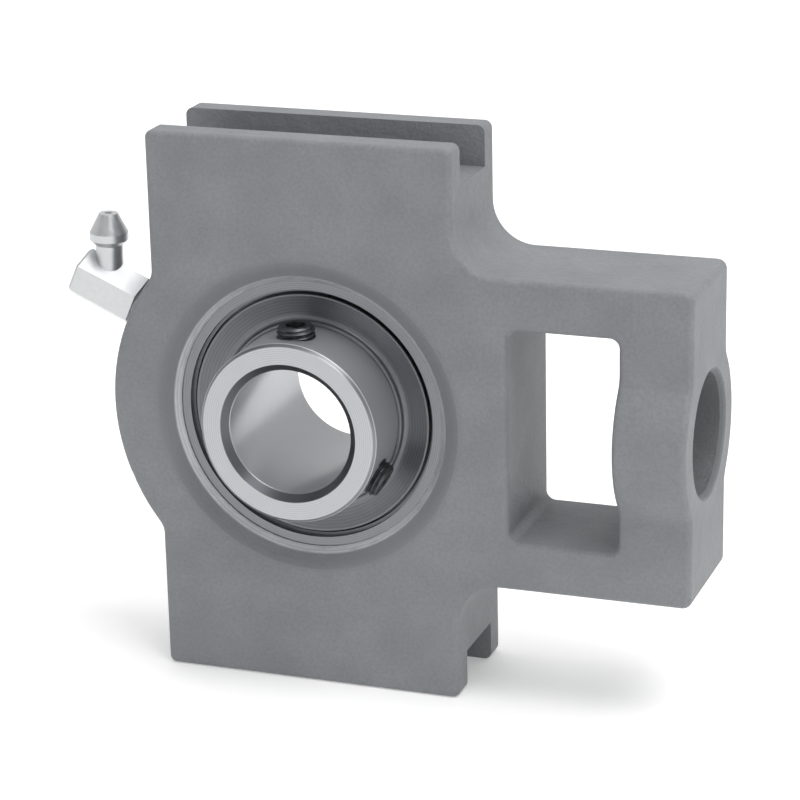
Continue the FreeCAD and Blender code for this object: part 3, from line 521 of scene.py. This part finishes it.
# %% The helix: height in pitches less the share of a turn
CREST_END = 0.06
ROOT_START = 0.44
angle = add_node(screw_tree, "ShaderNodeMath", {"operation": "ARCTAN2"}, {
    0: vertex_parts["Y"], 1: vertex_parts["X"]}).outputs[0]
turn_share = add_node(screw_tree, "ShaderNodeMath", {"operation": "DIVIDE"}, {
    0: angle, 1: math.tau}).outputs[0]
pitches = add_node(screw_tree, "ShaderNodeMath", {"operation": "DIVIDE"}, {
    0: vertex_parts["Z"], 1: given["Pitch"]}).outputs[0]
phase = add_node(screw_tree, "ShaderNodeMath", {"operation": "SUBTRACT"}, {
    0: pitches, 1: turn_share}).outputs[0]
wave = add_node(screw_tree, "ShaderNodeMath", {"operation": "PINGPONG"}, {0: phase, 1: 0.5}).outputs[0]
cut = add_node(screw_tree, "ShaderNodeMapRange", inputs={
    "Value": wave, "From Min": CREST_END, "From Max": ROOT_START,
    "To Min": 0.0, "To Max": given["Thread Depth"]})

# %% The radius of each vertex: thread or end chamfer, whichever is less
threaded = add_node(screw_tree, "ShaderNodeMath", {"operation": "SUBTRACT"}, {
    0: given["Radius"], 1: cut.outputs["Result"]}).outputs[0]
half_length = add_node(screw_tree, "ShaderNodeMath", {"operation": "MULTIPLY"}, {
    0: given["Length"], 1: 0.5}).outputs[0]
height = add_node(screw_tree, "ShaderNodeMath", {"operation": "ABSOLUTE"}, {
    0: vertex_parts["Z"]}).outputs[0]
from_end = add_node(screw_tree, "ShaderNodeMath", {"operation": "SUBTRACT"}, {
    0: half_length, 1: height}).outputs[0]
end_radius = add_node(screw_tree, "ShaderNodeMath", {"operation": "SUBTRACT"}, {
    0: given["Radius"], 1: given["Chamfer"]}).outputs[0]
coned = add_node(screw_tree, "ShaderNodeMath", {"operation": "ADD"}, {
    0: end_radius, 1: from_end}).outputs[0]
radius = add_node(screw_tree, "ShaderNodeMath", {"operation": "MINIMUM"}, {
    0: threaded, 1: coned}).outputs[0]
share = add_node(screw_tree, "ShaderNodeMath", {"operation": "DIVIDE"}, {
    0: radius, 1: given["Radius"]}).outputs[0]

# %% Move the vertices
flat_scale = add_node(screw_tree, "ShaderNodeCombineXYZ", inputs={"X": share, "Y": share, "Z": 1.0})
moved = add_node(screw_tree, "ShaderNodeVectorMath", {"operation": "MULTIPLY"}, {
    0: vertex, 1: flat_scale.outputs["Vector"]})
thread = add_node(screw_tree, "GeometryNodeSetPosition", inputs={
    "Geometry": blank.outputs["Mesh"], "Position": moved.outputs["Vector"]})

# %% The tool that cuts the hexagon socket
corner_radius = add_node(screw_tree, "ShaderNodeMath", {"operation": "DIVIDE"}, {
    0: given["Across Flats"], 1: 2 * math.cos(math.pi / 6)}).outputs[0]
key_length = add_node(screw_tree, "ShaderNodeMath", {"operation": "MULTIPLY"}, {
    0: given["Socket Depth"], 1: 2.0}).outputs[0]
key = add_node(screw_tree, "GeometryNodeMeshCylinder", {"fill_type": "NGON"}, {
    "Vertices": 6, "Radius": corner_radius, "Depth": key_length})
key_place = add_node(screw_tree, "ShaderNodeCombineXYZ", inputs={"Z": half_length})
placed_key = add_node(screw_tree, "GeometryNodeTransform", inputs={
    "Geometry": key.outputs["Mesh"], "Translation": key_place.outputs["Vector"]})

# %% The tool that cuts the cup, a double cone at the point
PAST_END = -1.0001
cup = add_node(screw_tree, "GeometryNodeMeshCone", {"fill_type": "NGON"}, {
    "Vertices": CUP_SIDES, "Radius Top": 0.0, "Radius Bottom": given["Cup Radius"],
    "Depth": given["Cup Depth"]})
low_end = add_node(screw_tree, "ShaderNodeMath", {"operation": "MULTIPLY"}, {
    0: half_length, 1: PAST_END}).outputs[0]
cup_place = add_node(screw_tree, "ShaderNodeCombineXYZ", inputs={"Z": low_end})
placed_cup = add_node(screw_tree, "GeometryNodeTransform", inputs={
    "Geometry": cup.outputs["Mesh"], "Translation": cup_place.outputs["Vector"]})

# %% Cut and end the tree of the set screw
cutting = {"operation": "DIFFERENCE", "solver": "EXACT"}
hollow = add_node(screw_tree, "GeometryNodeMeshBoolean", cutting, {
    "Mesh 1": thread.outputs["Geometry"],
    "Mesh 2": [placed_key.outputs["Geometry"], placed_cup.outputs["Geometry"]]})
end_shape_tree(screw_tree, given, hollow.outputs["Mesh"])

# %% Two threaded screws in the place of the CAD ones
screw_sizes = {name: millimetres * MM for name, millimetres in SCREW.items()}
for name in ("set_screw_1", "set_screw_2"):
    low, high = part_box(name)
    middle = (low + high) / 2
    mesh = grown_mesh(screw_tree, screw_sizes, middle, middle, black_steel)
    mesh.shade_smooth()
    mesh.set_sharp_from_angle(angle=math.radians(32))
    dress(name + "_threaded", mesh, name, name)

# %% [markdown]
# ## The spring of the check ball
# A wound spring has closed end turns that lie flat on their seats, and open turns between them. The
# height of a point on the wire is a sum of three ramps over its place on a flat spiral: a closed
# turn, the open turns and a closed turn again.

# %% Sizes of the spring, in millimetres, and its turns
SPRING = {"Wire Radius": 0.12, "Coil Radius": 0.7, "Height": 4.3, "Closed Height": 0.25}
SPRING_TURNS = {"Turns": 6.0, "Closed Turns": 1.0}
TOP_BELOW_BALL = 0.62
POINTS_PER_TURN = 32
WIRE_SIDES = 10

# %% A flat spiral and the turn that each of its points is on
spring_tree, given = new_shape_tree("wound_spring", [*SPRING, *SPRING_TURNS])
spiral = add_node(spring_tree, "GeometryNodeCurveSpiral", inputs={
    "Resolution": POINTS_PER_TURN, "Rotations": given["Turns"],
    "Start Radius": given["Coil Radius"], "End Radius": given["Coil Radius"], "Height": 0.0})
along_wire = add_node(spring_tree, "GeometryNodeSplineParameter").outputs["Factor"]
turn = add_node(spring_tree, "ShaderNodeMath", {"operation": "MULTIPLY"}, {
    0: along_wire, 1: given["Turns"]}).outputs[0]
last_open = add_node(spring_tree, "ShaderNodeMath", {"operation": "SUBTRACT"}, {
    0: given["Turns"], 1: given["Closed Turns"]}).outputs[0]
both_closed = add_node(spring_tree, "ShaderNodeMath", {"operation": "MULTIPLY"}, {
    0: given["Closed Height"], 1: 2.0}).outputs[0]
open_height = add_node(spring_tree, "ShaderNodeMath", {"operation": "SUBTRACT"}, {
    0: given["Height"], 1: both_closed}).outputs[0]

# %% Three ramps raise the wire
first_ramp = add_node(spring_tree, "ShaderNodeMapRange", inputs={
    "Value": turn, "From Min": 0.0, "From Max": given["Closed Turns"],
    "To Min": 0.0, "To Max": given["Closed Height"]}).outputs["Result"]
open_ramp = add_node(spring_tree, "ShaderNodeMapRange", inputs={
    "Value": turn, "From Min": given["Closed Turns"], "From Max": last_open,
    "To Min": 0.0, "To Max": open_height}).outputs["Result"]
last_ramp = add_node(spring_tree, "ShaderNodeMapRange", inputs={
    "Value": turn, "From Min": last_open, "From Max": given["Turns"],
    "To Min": 0.0, "To Max": given["Closed Height"]}).outputs["Result"]
two_ramps = add_node(spring_tree, "ShaderNodeMath", inputs={0: first_ramp, 1: open_ramp}).outputs[0]
rise = add_node(spring_tree, "ShaderNodeMath", inputs={0: two_ramps, 1: last_ramp}).outputs[0]
lift = add_node(spring_tree, "ShaderNodeCombineXYZ", inputs={"Z": rise})
helix = add_node(spring_tree, "GeometryNodeSetPosition", inputs={
    "Geometry": spiral.outputs["Curve"], "Offset": lift.outputs["Vector"]})

# %% Give the helix its round wire and end the tree
section = add_node(spring_tree, "GeometryNodeCurvePrimitiveCircle", inputs={
    "Resolution": WIRE_SIDES, "Radius": given["Wire Radius"]})
wire = add_node(spring_tree, "GeometryNodeCurveToMesh", inputs={
    "Curve": helix.outputs["Geometry"], "Profile Curve": section.outputs["Curve"], "Fill Caps": True})
end_shape_tree(spring_tree, given, wire.outputs["Mesh"])

# %% The wound spring under the check ball
ball_joint = next(joint for joint in frame["joints"] if joint["name"] == "check_ball_slide")
outward = -Vector(ball_joint["axis"])
low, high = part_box("nipple_ball")
fixed_turn = (low + high) / 2 - outward * (TOP_BELOW_BALL + SPRING["Height"]) * MM
spring_sizes = {name: millimetres * MM for name, millimetres in SPRING.items()}
mesh = grown_mesh(spring_tree, {**spring_sizes, **SPRING_TURNS}, fixed_turn, outward, spring_wire)
mesh.shade_smooth()
mesh.set_sharp_from_angle(angle=math.radians(60))
spring = dress("nipple_spring_wound", mesh, "housing", "nipple_spring")
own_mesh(spring)

# %% [markdown]
# ## The slingers
# In the CAD a slinger is a flat washer with a hub. The real one is pressed from thin sheet and dished
# outwards, with a rolled edge, so that it throws off water. Its left side catches the light and its
# right side lies dark. Its hub grips the outside of the inner ring, so the outline starts at the ring's
# radius of 14.5 mm. The outline is turned round the shaft axis in mesh code, because one closed loop
# of points is the plainest way to draw a pressed sheet.

# %% Outline of a slinger: radius and distance from the middle plane, in millimetres
SLINGER_OUTLINE = [
    (14.50, 6.60), (14.50, 8.15), (14.62, 8.22), (14.95, 8.22), (15.08, 8.12), (15.12, 7.62),
    (15.32, 7.30), (15.70, 7.16), (16.40, 7.24), (18.90, 7.92), (19.25, 8.10), (19.45, 8.12),
    (19.58, 8.00), (19.60, 7.82), (19.48, 7.66), (19.15, 7.50), (16.70, 6.70), (15.70, 6.52),
]
SLINGER_SIDES = 128

# %% Turn an outline round the shaft axis
def turned_mesh(name, outline, sides, facing):
    """facing is -1 for a piece on the front and 1 for one on the rear."""
    points = []
    for side in range(sides):
        angle = math.tau * side / sides
        for radius, depth in outline:
            points.append((radius * MM * math.cos(angle), facing * depth * MM,
                           radius * MM * math.sin(angle)))
    count = len(outline)
    faces = []
    for side in range(sides):
        here, there = side * count, (side + 1) % sides * count
        for corner in range(count):
            after = (corner + 1) % count
            face = (here + corner, here + after, there + after, there + corner)
            faces.append(face if facing < 0 else face[::-1])
    mesh = bpy.data.meshes.new(name)
    mesh.from_pydata(points, [], faces)
    mesh.shade_smooth()
    mesh.set_sharp_from_angle(angle=math.radians(50))
    return mesh

# %% Two dished slingers in the place of the CAD ones
for name, facing in (("slinger_front", -1), ("slinger_rear", 1)):
    mesh = turned_mesh(name, SLINGER_OUTLINE, SLINGER_SIDES, facing)
    mesh.materials.append(pressed_steel)
    dress(name + "_dished", mesh, "inner_ring", name)

# %% [markdown]
# ## Floor and light
# The unit stands on its lower guide face in a wide pale bowl: a floor that curves up all round it
# without an edge, so that it looks the same from every side. The light is soft and comes from the
# top and the right, as the bright top faces and the bright end face of the arm show.

# %% Profile of the studio bowl, in metres
FLOOR_RADIUS = 2.0
BEND_RADIUS = 0.8
BEND_STEPS = 16
BOWL_TOP = 1.5
profile = [(FLOOR_RADIUS, 0.0)]
for step in range(1, BEND_STEPS + 1):
    bend = math.radians(90 * step / BEND_STEPS)
    profile.append((FLOOR_RADIUS + BEND_RADIUS * math.sin(bend), BEND_RADIUS * (1 - math.cos(bend))))
profile.append((FLOOR_RADIUS + BEND_RADIUS, BOWL_TOP))
print("the bowl's profile has", len(profile), "points")

# %% Studio bowl
BOWL_SIDES = 96
points = []
for radius, rise in profile:
    for side in range(BOWL_SIDES):
        angle = math.tau * side / BOWL_SIDES
        points.append((radius * math.cos(angle), radius * math.sin(angle), cad_low.z + rise))
faces = [tuple(range(BOWL_SIDES))]
for ring in range(len(profile) - 1):
    for side in range(BOWL_SIDES):
        here, there = ring * BOWL_SIDES + side, ring * BOWL_SIDES + (side + 1) % BOWL_SIDES
        faces.append((there, here, here + BOWL_SIDES, there + BOWL_SIDES))
bowl_mesh = bpy.data.meshes.new("studio_sweep")
bowl_mesh.from_pydata(points, [], faces)
bowl_mesh.shade_smooth()
sweep = bpy.data.objects.new("studio_sweep", bowl_mesh)
bpy.context.scene.collection.objects.link(sweep)
sweep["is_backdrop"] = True

# %% [markdown]
# The unit was photographed on pure white without a visible shadow. A light table does that: its top is
# matt opal acrylic lit from below, which fills the shadow on it. The glow stays weaker than the light
# that falls on it from above, so that the unit still has a light and a dark side.

# %% Backlit opal acrylic for the bowl
TABLE_GLOW = 0.25
acrylic, tree, shader, place = new_finish("backlit_opal_acrylic")
clouding = add_node(tree, "ShaderNodeTexNoise", inputs={
    "Vector": place, "Scale": noise_scale(2.0), "Detail": 3.0})
tint = add_node(tree, "ShaderNodeMix", {"data_type": "RGBA"}, {
    0: clouding.outputs["Fac"], 6: linear("#eeeeed"), 7: linear("#f4f4f3")})
tree.links.new(tint.outputs[2], shader.inputs["Base Color"])
shader.inputs["Roughness"].default_value = 0.9
shader.inputs["Emission Color"].default_value = linear("#ffffff")
shader.inputs["Emission Strength"].default_value = TABLE_GLOW
bowl_mesh.materials.append(acrylic)

# %% [markdown]
# Three soft boxes light the unit. The key light hangs above it and a little to the right, which makes
# the top faces the brightest. A weak one in front lifts the shadows, and a wide one behind lights the
# floor. They are hidden from the camera, so that no bright square shows in a view from below.

# %% Soft boxes
def soft_box(name, place, aim, size, watts):
    light_data = bpy.data.lights.new(name, "AREA")
    light_data.shape = "SQUARE"
    light_data.size = size
    light_data.energy = watts
    light = bpy.data.objects.new(name, light_data)
    bpy.context.scene.collection.objects.link(light)
    light.location = place
    light.rotation_euler = (Vector(aim) - Vector(place)).to_track_quat("-Z", "Y").to_euler()
    light.visible_camera = False
    print(name, "is", round(light.location.length, 2), "m from the unit")

soft_box("key_light", (0.38, -0.15, 0.82), (0.0, 0.0, 0.0), 0.55, 5.2)
soft_box("front_light", (-0.15, -0.9, 0.45), (0.0, 0.0, 0.0), 0.6, 0.3)
soft_box("floor_light", (0.0, 0.45, 0.90), (0.0, 0.30, 0.0), 1.4, 6.0)

# %% [markdown]
# What is past the bowl is pale too, but weaker, so that the bare metal has something bright and
# something dim to reflect. The Standard view transform leaves white paper white, as the picture does.

# %% Pale surroundings
SKY_STRENGTH = 0.38
world = bpy.data.worlds.new("pale_studio")
world.use_nodes = True
backdrop = world.node_tree.nodes["Background"]
backdrop.inputs["Color"].default_value = linear("#f6f7f8")
backdrop.inputs["Strength"].default_value = SKY_STRENGTH
bpy.context.scene.world = world
bpy.context.scene.view_settings.view_transform = "Standard"

# %% Compare the dressed box with the CAD box, then finish
low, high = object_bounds()
print("visual box grows by", [round(c / MM, 3) for c in (cad_low - low)],
      [round(c / MM, 3) for c in (high - cad_high)])
